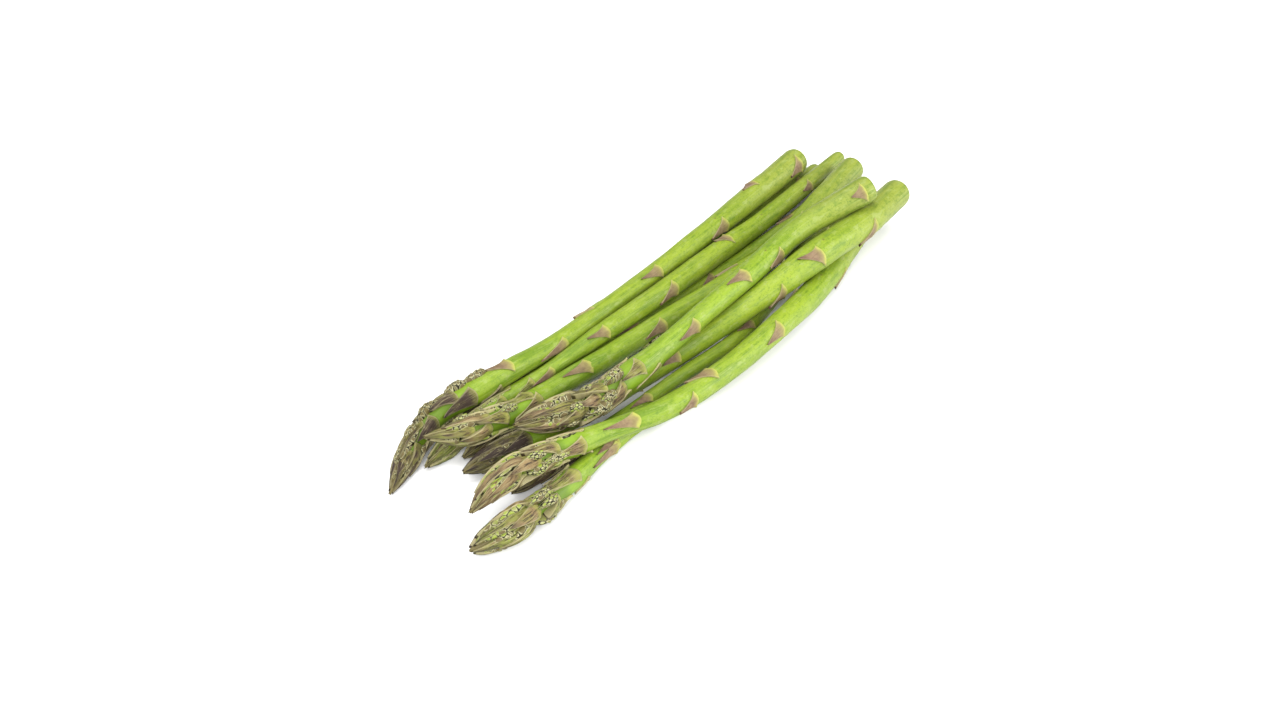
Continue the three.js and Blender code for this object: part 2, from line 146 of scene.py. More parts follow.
# the spears, with the same routes and sizes as the solids, in millimetres and degrees:
# radius is (share of the length, radius); leaves and bracts are (distance from the cut end,
# turn from straight up, length, lean); head is (length, first turn, length of its closed part);
# buds are (distance, turn, length, how proud); grain is the share of its buds that are beaded;
# cover is how wide its bracts are; tone is (darkness, greenness, yellowness)
spears = {
    "spear_1": {
        "route": [(111.4, 35.1, 12.5), (80, 31.5, 12.3), (50, 28.7, 11.5), (20, 27.2, 10),
                  (-10.3, 25.1, 10), (-40.3, 22.8, 11.7), (-61, 23, 12.7), (-78, 25, 11),
                  (-92, 27, 9), (-104.1, 24.4, 6.5), (-113.1, 20.9, 4.5), (-127, 14.5, 1)],
        "radius": [(0, 5.4), (0.13, 4.85), (0.26, 4.3), (0.38, 3.9), (0.5, 3.9), (0.62, 3.7),
                   (0.72, 4.3), (0.86, 5.1), (0.93, 4.7), (1, 0.4)],
        "leaves": [(5, 58, 8, 25), (29, -28, 7, 10), (54, 66, 10, 16), (92, 44, 10, -22),
                   (127, -45, 9, 0), (148, 74, 13, 10), (173, 14, 9, -38)],
        "bracts": [(191, 56, 15, 8), (197, 12, 11, -14), (209, 44, 12, -14), (221, 64, 12, -14),
                   (229, 16, 7, -4), (180, 118, 9, 0)],
        "head": (60, 40, 32),
        "buds": [(181, -34, 10, 2.2), (190, -36, 9, 2.6), (203, -26, 11, 2.0), (214, -30, 9, 1.6),
                 (224, -30, 9, 1.0)],
        "grain": 1.0, "cover": 0.72, "tone": (1.0, 0.2, 0.9),
    },
    "spear_2": {
        "route": [(128.8, 27.4, 8.8), (100.8, 24.3, 8.1), (71.6, 20.6, 8.9), (41.2, 18.3, 10.1),
                  (11.8, 16.4, 10.5), (-19, 16.3, 10), (-49, 16.5, 8.5), (-65, 17.8, 6.8),
                  (-79.3, 18.2, 4.9), (-94.6, 16.7, 3.8), (-110.2, 15.1, 2.6)],
        "radius": [(0, 2.7), (0.1, 3.5), (0.25, 3.9), (0.41, 4.3), (0.52, 4.1), (0.62, 3.7),
                   (0.74, 2.7), (0.88, 4.1), (0.94, 4.2), (1, 0.4)],
        "leaves": [(25, 56, 6, -4), (77, 6, 6, -36), (113, 58, 10, 30), (149, 48, 9, -30),
                   (177, 68, 10, 0)],
        "bracts": [(186, 56, 9, 10), (199, 42, 7, 0)],
        "head": (48, 60, 48),
        "buds": [],
        "grain": 0.6, "cover": 0.85, "tone": (0.15, 1.0, 0.8),
    },
    "spear_3": {
        "route": [(123.2, 15.6, 12.5), (94, 10, 11), (64.3, 5.3, 8.5), (35.3, 5.6, 7),
                  (6.6, 7.8, 6), (-22.2, 8, 6.5), (-51, 7.5, 8.9), (-71, 6.5, 10.5),
                  (-83, 8, 11.5), (-93.3, 10.7, 11.9), (-106.8, 19.2, 12.4)],
        "radius": [(0, 5.1), (0.12, 4.9), (0.25, 4.4), (0.42, 4.2), (0.6, 4.2), (0.75, 4),
                   (0.86, 5.3), (0.92, 5.6), (1, 0.4)],
        "leaves": [(37, 165, 10, 0), (80, -60, 10, 0), (123, 56, 11, 10), (162, 30, 13, -14)],
        "bracts": [(191, -10, 11, 10), (189, 54, 13, 20), (204, 42, 12, -18), (211, 78, 11, 8),
                   (217, 46, 10, 6), (215, -30, 11, 20)],
        "head": (50, 60, 26),
        "buds": [(124, 112, 11, 1.4), (198, 12, 8, 0.8), (215, -30, 10, 1.4)],
        "grain": 0.4, "cover": 0.95, "tone": (0.3, 0.65, 0.4),
    },
    "spear_4": {
        "route": [(100, -11.2, 28), (82.7, -6.4, 24), (67, -3.5, 21), (34.9, -6.8, 19.3),
                  (5.1, -9.4, 17.8), (-22.1, -10.4, 14.2), (-52.5, -11.2, 14),
                  (-67.6, -7.5, 14.5), (-82, -0.5, 14)],
        "radius": [(0, 5.5), (0.15, 4.8), (0.34, 4.6), (0.5, 4.1), (0.64, 4.2), (0.78, 6.1),
                   (0.87, 6.8), (0.94, 5.2), (1, 0.4)],
        "leaves": [(5, 50, 6, -8), (51, 80, 9, 2), (71, 30, 10, -24), (102, 64, 10, -4)],
        "bracts": [(132, 32, 12, 6), (143, 74, 10, 20), (124, 120, 13, 0), (154, 48, 9, -6),
                   (150, 0, 14, -2), (160, 62, 12, 30)],
        "head": (60, 20, 28),
        "buds": [(140, 4, 10, 3.0), (150, 86, 11, 1.8), (153, -6, 9, 1.0), (160, 42, 9, 1.0),
                 (163, 98, 8, 1.0), (147, 62, 8, 0.8)],
        "grain": 0.8, "cover": 0.8, "tone": (0.4, 0.45, 0.1),
    },
    "spear_5": {
        "route": [(121.3, -8.9, 13.5), (92.5, -14.5, 16.4), (64.5, -16.5, 18.3),
                  (36.6, -14.4, 13.8), (8.5, -10, 7.5), (-20.2, -6.5, 4), (-49.2, -5, 3.8),
                  (-77, -2, 4.6), (-91, -0.5, 5.4), (-104.8, 1.4, 5.5)],
        "radius": [(0, 5.8), (0.25, 5.8), (0.38, 4.9), (0.5, 4.5), (0.7, 4.2), (0.8, 4.2),
                   (0.89, 5.1), (0.95, 4.4), (1, 0.4)],
        "leaves": [(29, 92, 10, 36), (61, 52, 9, -46), (81, 90, 8, 36), (131, 42, 8, 10),
                   (166, -40, 12, 0)],
        "bracts": [(211, 30, 12, 0), (202, 34, 12, 14)],
        "head": (40, 40, 30),
        "buds": [],
        "grain": 0.4, "cover": 1.05, "tone": (1.15, 0.2, 0.8),
    },
    "spear_6": {
        "route": [(113, -2.5, 4.6), (85.5, -12.4, 6.3), (57.4, -21.9, 8), (26.7, -28.6, 11),
                  (-3.4, -31.3, 10.5), (-33.3, -30, 10), (-62, -23.5, 11.5), (-84, -19.5, 13),
                  (-95.9, -17.2, 13), (-105.9, -16.7, 12), (-120, -19, 9.5)],
        "radius": [(0, 4.8), (0.15, 4.8), (0.28, 4.9), (0.4, 4.6), (0.52, 4.4), (0.65, 4.1),
                   (0.73, 3.8), (0.84, 5.4), (0.9, 5.8), (0.95, 4.2), (1, 0.4)],
        "leaves": [(42, 120, 10, 0), (93, 52, 10, 14), (129, 4, 11, -46), (141, 76, 8, 24),
                   (166, 40, 14, -8)],
        "bracts": [(189, 66, 13, -4), (199, 18, 13, -30), (207, 46, 13, -2), (201, 118, 16, 8)],
        "head": (58, 55, 32),
        "buds": [(195, 68, 12, 1.0), (203, 22, 10, 0.6), (204, 90, 10, 0.8)],
        "grain": 0.4, "cover": 0.98, "tone": (0.15, 0.25, 0.5),
    },
    "spear_7": {
        "route": [(106.2, 4.2, 3), (75.2, 1.8, 3), (45.2, -9.6, 3), (16.5, -16, 3),
                  (-13.1, -15.9, 3), (-42.2, -16.8, 3), (-71, -16.5, 3.5), (-98, -15.8, 2.5)],
        "radius": [(0, 3.1), (0.5, 2.9), (0.65, 2.8), (0.8, 3.1), (0.9, 3.7), (0.96, 3),
                   (1, 0.4)],
        "leaves": [(40, 60, 9, 0), (82, 34, 8, -30), (139, 22, 10, -6)],
        "bracts": [],
        "head": (40, 80, 40),
        "buds": [],
        "grain": 0.4, "cover": 1.0, "tone": (0.7, 0.3, 0.5),
    },
    "spear_8": {
        "route": [(116.1, 21.4, 3.6), (87.9, 16.1, 3.5), (57.7, 15.2, 3.4), (27, 15.5, 3.2),
                  (-3, 16, 3), (-33, 14.5, 3), (-63, 11.8, 3.3), (-97.3, 9.4, 2.3)],
        "radius": [(0, 3.3), (0.6, 3), (0.75, 3.1), (0.88, 3.4), (0.95, 3.2), (1, 0.4)],
        "leaves": [(29, -30, 9, 0), (79, 34, 7, 22), (120, 20, 11, 0)],
        "bracts": [],
        "head": (40, 10, 40),
        "buds": [],
        "grain": 0.5, "cover": 0.9, "tone": (0.5, 0.5, 0.3),
    },
    "spear_9": {
        "route": [(120.7, 32.4, 3.5), (91.7, 31, 3.3), (63.5, 30, 3.2), (33.5, 28, 3),
                  (3.5, 27.5, 2.9), (-26, 26, 2.9), (-56, 25, 3.4), (-86, 25, 2.2)],
        "radius": [(0, 3.5), (0.6, 2.9), (0.75, 3), (0.88, 3.4), (0.95, 3), (1, 0.4)],
        "leaves": [(13, 40, 9, 0), (57, -20, 9, 0), (102, 60, 10, 0), (137, -40, 11, 0)],
        "bracts": [],
        "head": (40, 60, 40),
        "buds": [],
        "grain": 0.5, "cover": 1.0, "tone": (0.6, 0.3, 0.5),
    },
    "spear_10": {
        "route": [(37.8, -21.2, 3.1), (24.3, -24.5, 3.2), (-3.5, -25.6, 3.4), (-34.4, -23, 3.4),
                  (-60, -24.5, 3.8), (-78.1, -28, 5), (-91.6, -30.3, 6), (-103.6, -31.3, 6.8),
                  (-113.6, -31.3, 6), (-129, -27.7, 4)],
        "radius": [(0, 3.5), (0.3, 3.4), (0.5, 3), (0.62, 3.5), (0.74, 4.7), (0.84, 6.6),
                   (0.9, 6.5), (0.96, 4.2), (1, 0.4)],
        "leaves": [(38, -60, 9, 0), (94, 30, 12, 0), (95, 78, 16, -12)],
        "bracts": [(119, 24, 18, -20), (131, 78, 9, 14), (141, 48, 13, -8), (114, 125, 8, 0)],
        "head": (58, 20, 32),
        "buds": [(131, 8, 13, 1.0), (131, 46, 11, 0.8), (131, 116, 13, 0.8)],
        "grain": 1.0, "cover": 0.68, "tone": (0.4, 0.78, 0.3),
    },
}


def smoothRoute(points, pieces=60):
    # a centripetal Catmull-Rom curve, the same one as the solids follow
    given = np.array(points, dtype=float)
    ends = [2 * given[0] - given[1], *given, 2 * given[-1] - given[-2]]
    path = []
    for before, start, end, after in zip(ends, ends[1:], ends[2:], ends[3:]):
        knots = [math.sqrt(np.linalg.norm(b - a)) for a, b in
                 ((before, start), (start, end), (end, after))]
        leave = ((start - before) / knots[0] - (end - before) / (knots[0] + knots[1])
                 + (end - start) / knots[1]) * knots[1]
        arrive = ((end - start) / knots[1] - (after - start) / (knots[1] + knots[2])
                  + (after - end) / knots[2]) * knots[1]
        for t in np.arange(pieces) / pieces:
            path.append((2 * t**3 - 3 * t**2 + 1) * start + (t**3 - 2 * t**2 + t) * leave
                        + (3 * t**2 - 2 * t**3) * end + (t**3 - t**2) * arrive)
    return np.array([*path, given[-1]])


def smoothRadius(pairs, shares):
    # a smooth radius through the pairs, with no overshoot between them
    at, value = np.array(pairs, dtype=float).T
    steps = np.diff(value) / np.diff(at)
    product = steps[:-1] * steps[1:]
    safe = np.where(product > 0, steps[:-1] + steps[1:], 1)
    inner = np.where(product > 0, 2 * product / safe, 0)
    slopes = np.array([steps[0], *inner, steps[-1]])
    k = np.clip(np.searchsorted(at, shares) - 1, 0, len(at) - 2)
    width = at[k + 1] - at[k]
    t = np.clip((shares - at[k]) / width, 0, 1)
    return ((2 * t**3 - 3 * t**2 + 1) * value[k] + (3 * t**2 - 2 * t**3) * value[k + 1]
            + width * ((t**3 - 2 * t**2 + t) * slopes[k] + (t**3 - t**2) * slopes[k + 1]))


class Line:
    # a spear's middle line: points a millimetre apart, and its outline's radius
    def __init__(self, spear):
        dense = smoothRoute(spear["route"])
        reach = np.concatenate([[0], np.cumsum(np.linalg.norm(np.diff(dense, axis=0), axis=1))])
        self.length = reach[-1]
        self.stops = np.linspace(0, self.length, round(self.length) + 1)
        self.points = np.stack([np.interp(self.stops, reach, dense[:, k]) for k in range(3)], 1)
        self.pairs = spear["radius"]

    def outline(self, distance):
        return smoothRadius(self.pairs, np.clip(np.asarray(distance) / self.length, 0, 1))


lines = {name: Line(spear) for name, spear in spears.items()}


def drawNumbers(seed):
    # the same seeded numbers as the solids use
    mask = 0xFFFFFFFF
    state = seed
    while True:
        state = (state + 0x6D2B79F5) & mask
        t = (state ^ (state >> 15)) * (state | 1) & mask
        t ^= (t + ((t ^ (t >> 7)) * (t | 61) & mask)) & mask
        yield ((t ^ (t >> 14)) & mask) / 4294967296


def storeOn(mesh, name, kind, values):
    field = "vector" if kind == "FLOAT_VECTOR" else "value"
    number = np.int32 if kind == "INT" else np.float32
    made = mesh.attributes.new(name, kind, "POINT")
    made.data.foreach_set(field, np.asarray(values, dtype=number).reshape(-1))


# patterns of the parts are flat: x along the spear, y round it, z how far out to the outline
def patternMesh(name, along, around, lift, proud, place):
    # a grid of points as a mesh; "proud" is what stands out beyond the lift
    rows, columns = along.shape
    mesh = bpy.data.meshes.new(name)
    corners = np.arange(rows * columns).reshape(rows, columns)
    faces = np.stack([corners[:-1, :-1], corners[:-1, 1:], corners[1:, 1:], corners[1:, :-1]], -1)
    mesh.from_pydata(np.stack([along, around, lift], -1).reshape(-1, 3).tolist(), [],
                     faces.reshape(-1, 4).tolist())
    storeOn(mesh, "place", "FLOAT_VECTOR", np.stack(place, -1))
    storeOn(mesh, "proud", "FLOAT", proud * mm)
    return mesh


def unitGrid(p, power=1.0):
    # v goes from the foot to the tip, closer at the foot for a power above 1; u goes across
    return np.meshgrid(np.linspace(0, 1, p["rows"]) ** power, np.linspace(-1, 1, p["columns"]),
                       indexing="ij")


def smoothStep(value, low, high):
    t = np.clip((value - low) / (high - low), 0, 1)
    return t * t * (3 - 2 * t)


def thinEdge(along, around, lift, proud, place, p):
    # turns the border down by the thickness of the edge, then in under the part
    drop = np.pad(np.zeros_like(along), 1, constant_values=p["edge"])
    tuck = np.pad(np.zeros_like(drop), 1, constant_values=1.0)
    grids = [np.pad(g, 2, mode="edge") for g in (along, around, lift, proud, *place)]
    drop = np.pad(drop, 1, constant_values=p["edge"])
    middle = (along.min() + along.max()) / 2
    grids[0] = grids[0] + (middle - grids[0]) * tuck * p["tuck"]
    grids[1] = grids[1] * (1 - tuck * p["tuck"])
    grids[2] = grids[2] * (1 - tuck)
    grids[3] = np.where(tuck > 0, p["root"], grids[3] - drop)
    return (*grids[:4], grids[4:])


leafPattern = {
    "rows": 14, "columns": 13,
    "arch": 0.13,        # how far the foot sags to the cut end
    "horn": 0.3, "waist": 0.22,     # shares of the width lost right at the foot, and further on
    "footRise": 0.32, "bodyRise": 0.32, "tipRise": 0.9, "edgeFlare": 0.15, "hornFlare": 0.5,
    "sway": 0.05, "ripple": 0.08,   # how far its sides wander, and its face
    "edge": 0.2, "tuck": 0.12, "root": -0.9,    # the edge's thickness, and how it turns under
}


def makeLeafPattern(p, seed):
    random = np.random.RandomState(seed)
    v, u = unitGrid(p, 1.5)
    wave = random.uniform(-1, 1, 4)
    along = v - p["arch"] * (1 - u**2) * (1 - v) ** 1.3
    width = (p["horn"] * (1 - v) ** 7 + p["waist"] * (1 - v) ** (1.8 + 0.3 * wave[0])
             + (1 - p["horn"] - p["waist"]) * (1 - v) ** 0.85)
    around = u * width + p["sway"] * wave[1] * np.sin(math.pi * v)
    proud = (p["footRise"] + (p["bodyRise"] - p["footRise"]) * smoothStep(v, 0, 0.15)
             + (p["tipRise"] - p["bodyRise"]) * v**1.5)
    proud += p["edgeFlare"] * u**4 * smoothStep(v, 0, 0.1) * (1 - v)
    proud += p["hornFlare"] * np.abs(u) ** 6 * (1 - v) ** 6
    proud += p["ripple"] * wave[2] * np.sin(5 * v + wave[3] + u * 2)
    flat = np.zeros_like(v)
    parts = thinEdge(along, around, flat, proud, (u, v, flat), p)
    return patternMesh("leafPattern", *parts)


bractPattern = {
    "rows": 13, "columns": 11,
    "arch": 0.1, "slim": 0.5, "slimSpread": 0.12, "hollow": 4.0, "sway": 0.09, "ripple": 0.1,
    "fullLift": 0.42,    # the share of its length where it reaches the outline
    "overBud": 0.95,     # its width at the foot against the bud's
    "footRise": 0.32, "tipRise": 0.3, "edgeFlare": 0.15, "hornFlare": 0.5,
    "edge": 0.2, "tuck": 0.15, "root": -0.5,
}


def makeBractPattern(p, seed):
    random = np.random.RandomState(seed)
    v, u = unitGrid(p, 1.3)
    wave = random.uniform(-1, 1, 5)
    along = v - p["arch"] * (1 - u**2) * (1 - v) ** 1.5
    slim = p["slim"] + p["slimSpread"] * wave[0]
    width = slim * (1 - v) ** 0.7 + (1 - slim) * (1 - v) ** p["hollow"]
    around = u * width + p["sway"] * wave[1] * np.sin(math.pi * v)
    dome = np.sqrt(np.clip(1 - (u * width * p["overBud"]) ** 2, 0, 1))
    lift = (0.04 + 0.84 * smoothStep(v, -0.05, p["fullLift"]) + 0.08 * v) * dome
    proud = p["footRise"] + (p["tipRise"] - p["footRise"]) * v
    proud += p["edgeFlare"] * u**4 * (1 - v) + p["hornFlare"] * np.abs(u) ** 6 * (1 - v) ** 6
    proud += p["ripple"] * wave[2] * np.sin(4 * v + 3 * u + wave[3] * 3)
    parts = thinEdge(along, around, lift, proud, (u, v, np.zeros_like(v)), p)
    return patternMesh("bractPattern", *parts)


tipBractPattern = {
    "rows": 13, "columns": 9,
    "arch": 0.1, "belly": 0.8, "bellySpread": 0.1, "blunt": 2.5, "sway": 0.06, "ripple": 0.08,
    "footRise": -0.1, "tipRise": 0.26, "ridge": 0.2, "crown": 0.3,
    "edge": 0.25, "tuck": 0.12, "root": -0.5,
}


def makeTipBractPattern(p, seed):
    random = np.random.RandomState(seed)
    v, u = unitGrid(p)
    wave = random.uniform(-1, 1, 5)
    along = v - p["arch"] * (1 - u**2) * (1 - v)
    belly = p["belly"] + p["bellySpread"] * wave[0]
    width = belly * (1 - v ** p["blunt"]) ** 0.8 + (1 - belly) * (1 - v)
    around = u * width + p["sway"] * wave[1] * np.sin(math.pi * v)
    lift = (0.4 + 0.42 * smoothStep(v, 0, 0.5) + 0.1 * v) * (1 - p["crown"] * (u * width) ** 2)
    proud = p["footRise"] + (p["tipRise"] - p["footRise"]) * v + p["ridge"] * (1 - np.abs(u))
    proud += p["ripple"] * wave[2] * np.sin(4 * v + 3 * u + wave[3] * 3)
    parts = thinEdge(along, around, lift, proud, (u, v, np.ones_like(v)), p)
    return patternMesh("tipBractPattern", *parts)


budPattern = {
    "rows": 38, "columns": 28,
    "beadRows": 7, "beadColumns": 4,
    "beadHeight": 0.8, "height": 0.9, "beadSpread": 0.5,
    "edge": 0.2, "tuck": 0.2, "root": -0.5,
}
smoothBudPattern = {**budPattern, "beadRows": 3, "beadColumns": 5, "beadHeight": 0.45}


def makeBudPattern(p, seed):
    random = np.random.RandomState(seed)
    v, u = unitGrid(p)
    width = np.sin(math.pi * np.clip(v, 0, 1) ** 0.7) ** 0.6 * (1 - 0.35 * v)
    dome = np.sqrt(np.clip(1 - u**2, 0, 1)) * np.clip(np.sin(math.pi * v**0.8), 0, 1) ** 0.5
    # beads: the nearest of a jittered grid of centres
    row, column = np.meshgrid(np.arange(p["beadRows"]), np.arange(p["beadColumns"]),
                              indexing="ij")
    jitters = random.uniform(-p["beadSpread"], p["beadSpread"], (2, *row.shape))
    centreV = ((row + 0.5 + jitters[0]) / p["beadRows"]).ravel()
    centreU = (((column + 0.5 * (row % 2) + 0.25 + jitters[1]) / p["beadColumns"]) * 2 - 1).ravel()
    gapV = (v[..., None] - centreV) * p["beadRows"]
    gapU = (u[..., None] - centreU) * p["beadColumns"] / 2
    gaps = np.sqrt(gapV**2 * 0.7 + gapU**2)
    order = np.sort(gaps, -1)
    bead = np.clip((order[..., 1] - order[..., 0]) * 1.4, 0, 1)
    tint = random.uniform(0, 1, centreV.size)[gaps.argmin(-1)]
    lift = dome * p["height"]
    proud = p["beadHeight"] * (np.sqrt(bead) - 0.6) * smoothStep(dome, 0.1, 0.5)
    parts = thinEdge(v, u * width, lift, proud, (bead, v, tint), p)
    return patternMesh("budPattern", *parts)


def addObject(name, data):
    made = bpy.data.objects.new(name, data)
    bpy.context.scene.collection.objects.link(made)
    return made


# several forms of each kind, each from its own seed; kinds of one number share a finish
formsOf = {"leaf": [(makeLeafPattern, leafPattern)] * 3,
           "bract": [(makeBractPattern, bractPattern)] * 4,
           "tipBract": [(makeTipBractPattern, tipBractPattern)] * 4,
           "bud": [(makeBudPattern, budPattern)] * 4,
           "smoothBud": [(makeBudPattern, smoothBudPattern)] * 4}
kindOf = {"leaf": 0, "bract": 1, "tipBract": 1, "bud": 2, "smoothBud": 2}
firstForm, forms = {}, []
for kind, group in formsOf.items():
    firstForm[kind] = len(forms)
    forms += group
patterns = bpy.data.collections.new("patterns")
bpy.context.scene.collection.children.link(patterns)
for index, (make, sizes) in enumerate(forms):
    patterns.objects.link(bpy.data.objects.new(f"pattern{index:02d}", make(sizes, index)))
print("patterns made")


# the stalk, as a sheet that is wrapped round the middle line
stalkSheet = {
    "sides": 40, "step": 1.0,
    "cutEnd": [(0, 0.0), (0, 0.35), (0, 0.62), (0, 0.8), (0.25, 0.87), (0.7, 0.92), (1.3, 0.96),
               (2.1, 0.985), (3, 1)],     # its rounded edge: distance in, share of the radius
    "shortOfTip": 1.0, "tipBrown": (16.0, 5.0), "greener": 80.0,
    "headGrows": (2, 18),        # where the scales take over from the stalk, from the head's start
    "headTaper": 2.2, "leastCore": 0.5, "mostCore": 0.85,    # the core inside the head
    "lastGap": 0.4, "cutFaceShare": 0.84, "cutFaceReach": 5, "closeDepth": 20,
    "footSwelling": 0.3, "footBelow": 3.5, "footReach": 3.5, "footHalfTurn": 60.0,
}


def headShare(line, spear, distance):
    start = line.length - spear["head"][0]
    low, high = stalkSheet["headGrows"]
    return smoothStep(np.asarray(distance, dtype=float), start + low, start + high)


def coreRadius(line, spear, distance):
    # the core goes on at the stalk's girth into the head, and thins to its tip
    start = line.length - spear["head"][0]
    t = np.clip((np.asarray(distance, dtype=float) - start) / spear["head"][0], 0, 1)
    outline = line.outline(distance)
    core = float(line.outline(start)) * (1 - t ** stalkSheet["headTaper"])
    core = np.maximum(core, outline * stalkSheet["leastCore"])
    core = np.minimum(core, outline * stalkSheet["mostCore"])
    share = headShare(line, spear, distance)
    return outline * (1 - share) + core * share


def makeStalkSheet(name, line, spear):
    p = stalkSheet
    end = line.length - p["shortOfTip"]
    body = np.arange(p["cutEnd"][-1][0] + p["step"], end - p["lastGap"], p["step"])
    stops = np.array([d for d, _ in p["cutEnd"]] + [*body, end, end])
    shares = np.array([s for _, s in p["cutEnd"]] + [1] * (len(body) + 1) + [0])
    turns = np.linspace(-math.pi, math.pi, p["sides"] + 1)
    along, around = np.meshgrid(stops, turns, indexing="ij")
    proud = np.repeat(((shares - 1) * coreRadius(line, spear, stops))[:, None], len(turns), 1)
    proud[shares == 0] = -p["closeDepth"]    # both ends are closed on the middle line
    for distance, turn, _, _ in allLeaves(spear):
        away = (around - math.radians(turn) + math.pi) % (2 * math.pi) - math.pi
        side = np.exp(-((away / math.radians(p["footHalfTurn"])) ** 2))
        below = np.exp(-(((along - distance + p["footBelow"]) / p["footReach"]) ** 2))
        proud += p["footSwelling"] * side * below * (shares[:, None] > 0.99)
    cutFace = (shares < p["cutFaceShare"]) & (stops < p["cutFaceReach"])
    cut = np.repeat(cutFace[:, None], len(turns), 1).astype(float)
    # from -1 on the plain stalk to 0 where the head starts, 1 well inside it and 2 at its tip
    start = line.length - spear["head"][0]
    brown = smoothStep(stops, line.length - p["tipBrown"][0], line.length - p["tipBrown"][1])
    nearness = np.clip((stops - start) / p["greener"], -1, 0) + headShare(line, spear, stops)
    head = np.repeat((nearness + brown)[:, None], len(turns), 1)
    return patternMesh(name + "Sheet", along * mm, around, np.zeros_like(along), proud,
                       (cut, head, np.full_like(cut, spear["tone"][2])))


def allLeaves(spear, widestGap=16):
    # the listed ones, and one on the far side in each wide gap
    listed = spear["leaves"]
    between = [((a[0] + b[0]) / 2, (a[1] + b[1]) / 2 + 180, (a[2] + b[2]) / 2, 0)
               for a, b in zip(listed, listed[1:]) if b[0] - a[0] > widestGap]
    return [*listed, *between]


# where each leaf, bract and bud sits
placing = {
    "leafHalfTurn": 44.0,
    "spiralTurn": 141.0, "spiralStep": (0.62, 0.041), "stepsLong": 6, "lastFromTip": 3.4,
    "jitterTurn": 9.0, "jitterRise": 0.3,
    "bractHalfTurn": 43.0, "bractOverlap": 1.15, "longestBract": 13.5, "bractRise": 0.12,
    "tipZone": 24.0, "tipBractHalfTurn": 35.0, "tipBractOverlap": 1.2, "tipBractFrom": 6.0,
    "budHalfTurn": 44.0, "lastBudFromTip": 14.0, "sideBudHalfTurn": 26.0,
    "budStart": 0.1, "budShare": 0.95, "budShortOfTip": 4.0,   # within its bract
    "listedReach": (9.0, 75.0), "listedNear": 1.3, "listedCover": 1.05, "seenFrom": (40.0, 80.0),
    "seed": 41, "shadeSeed": 7, "grainSeed": 11,
}
numbers, shades, grains = [drawNumbers(placing[k]) for k in ("seed", "shadeSeed", "grainSeed")]
next(numbers)


def jitter(size):
    return (next(numbers) * 2 - 1) * size


def headPlaces(spear, line):
    # the spiral of the head; a listed bract takes the place of the one that lies nearest to it
    p = placing
    left, start, closed = spear["head"]
    tips = []
    while left > p["lastFromTip"]:
        turn = start + len(tips) * p["spiralTurn"] + jitter(p["jitterTurn"])
        tips.append((line.length - left, turn, 1 + jitter(p["jitterRise"])))
        left -= p["spiralStep"][0] + p["spiralStep"][1] * left
    places = []
    for i in range(p["stepsLong"], len(tips)):
        distance, turn, rise = tips[i]
        left = line.length - distance
        foot = tips[i - p["stepsLong"]][0]
        if left < p["tipZone"]:     # near the tip they are long and all run out to it
            end = line.length - left**2 / p["tipZone"]
            length = (end - foot) * p["tipBractOverlap"]
        else:
            end = distance
            length = min((end - foot) * p["bractOverlap"], p["longestBract"])
        places.append([end - length, turn, length, 0.0, rise])
    free = list(range(len(places)))
    listed = []
    reach, spread = p["listedReach"]
    for distance, turn, length, lean in spear["bracts"]:
        def far(k):
            away = (places[k][1] - turn + 180) % 360 - 180
            return math.hypot((places[k][0] - distance) / reach, away / spread)
        nearest = min(free, key=far)
        if far(nearest) < p["listedNear"]:
            free.remove(nearest)
            places[nearest] = None
        listed.append([distance, turn, length, lean, 1.0])
    # before its closed part, a head has only the listed bracts on the side that is seen
    middle, seen = p["seenFrom"]
    kept = [place for place in places if place and (
        place[0] > line.length - closed or abs((place[1] - middle + 180) % 360 - 180) > seen)]
    return kept, listed


def placesOn(spear, line):
    # rows of kind, distance, turn, length, half turn, rise, lean, boost
    p = placing
    rows = []
    for distance, turn, length, lean in allLeaves(spear):
        rows.append(("leaf", distance, turn, length, p["leafHalfTurn"], 1.0, lean, 0))
    spiral, listed = headPlaces(spear, line)
    for k, (foot, turn, length, lean, rise) in enumerate([*spiral, *listed]):
        full = 1 + (rise - 1) * p["bractRise"]
        left = line.length - foot
        kind = "tipBract" if left - length < p["tipBractFrom"] else "bract"
        cover = spear["cover"] if k < len(spiral) else p["listedCover"]
        halfTurn = p[kind + "HalfTurn"] * cover
        rows.append((kind, foot, turn, length, halfTurn, full, lean, 0))
        if k < len(spiral) and left > p["lastBudFromTip"]:
            kind = "bud" if next(grains) < spear["grain"] else "smoothBud"
            start = length * p["budStart"]
            budLength = min(length * p["budShare"], left - start - p["budShortOfTip"])
            rows.append((kind, foot + start, turn, budLength, p["budHalfTurn"], full, lean, 0))
    for distance, turn, length, height in spear["buds"]:
        rows.append(("bud", distance, turn, length, p["sideBudHalfTurn"], 1, 0, height))
    return rows


def pointsObject(name, rows, tone):
    mesh = bpy.data.meshes.new(name)
    mesh.from_pydata([(r[1] * mm, math.radians(r[2]), 0) for r in rows], [], [])
    picks = [firstForm[r[0]] + k % len(formsOf[r[0]]) for k, r in enumerate(rows)]
    storeOn(mesh, "form", "INT", picks)
    storeOn(mesh, "kind", "INT", [kindOf[r[0]] for r in rows])
    storeOn(mesh, "lean", "FLOAT", [math.radians(r[6]) for r in rows])
    storeOn(mesh, "boost", "FLOAT", [r[7] * mm for r in rows])
    storeOn(mesh, "size", "FLOAT_VECTOR", [(r[3] * mm, math.radians(r[4]), r[5]) for r in rows])
    storeOn(mesh, "mood", "FLOAT_VECTOR", [(*tone[:2], next(shades)) for _ in rows])
    return addObject(name, mesh)


